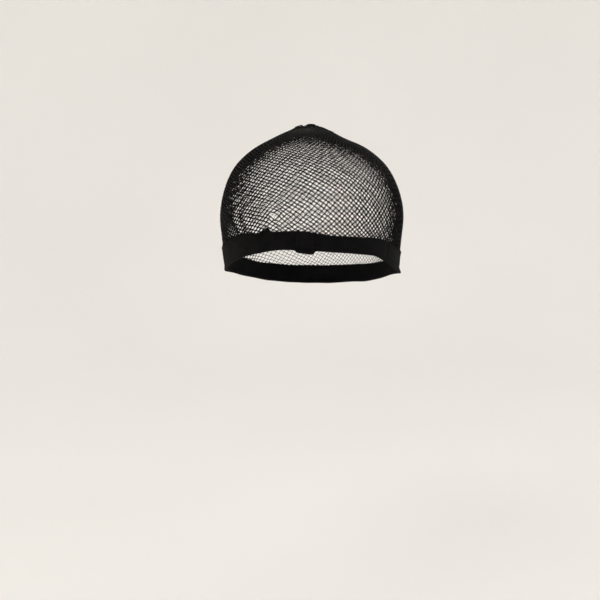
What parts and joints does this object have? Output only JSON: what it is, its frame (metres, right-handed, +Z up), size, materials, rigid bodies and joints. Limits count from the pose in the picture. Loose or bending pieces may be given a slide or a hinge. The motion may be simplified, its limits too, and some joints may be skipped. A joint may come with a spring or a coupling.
{
  "type": "wig cap",
  "caption": "Stretched fishnet wig cap: a bag of open net drawn together in a pleated gather on the crown, with a wide knitted elastic band round the hem.",
  "frame": {"origin": "inside of the crown, where the cap rests on the top of the head, under the gather", "axes": "+Z up, -Y towards the forehead, +X towards the wearer's left"},
  "size_m": [0.1488, 0.1915, 0.1399],
  "materials": {
    "net": "black knotted nylon net",
    "band": "black knitted elastic, fine ribs",
    "thread": "black wound sewing thread"
  },
  "bodies": {
    "root": {"net": "net", "band": "band", "band_join": "band", "crown_gather": "net", "gather_knot": "thread"}
  },
  "joints": []
}
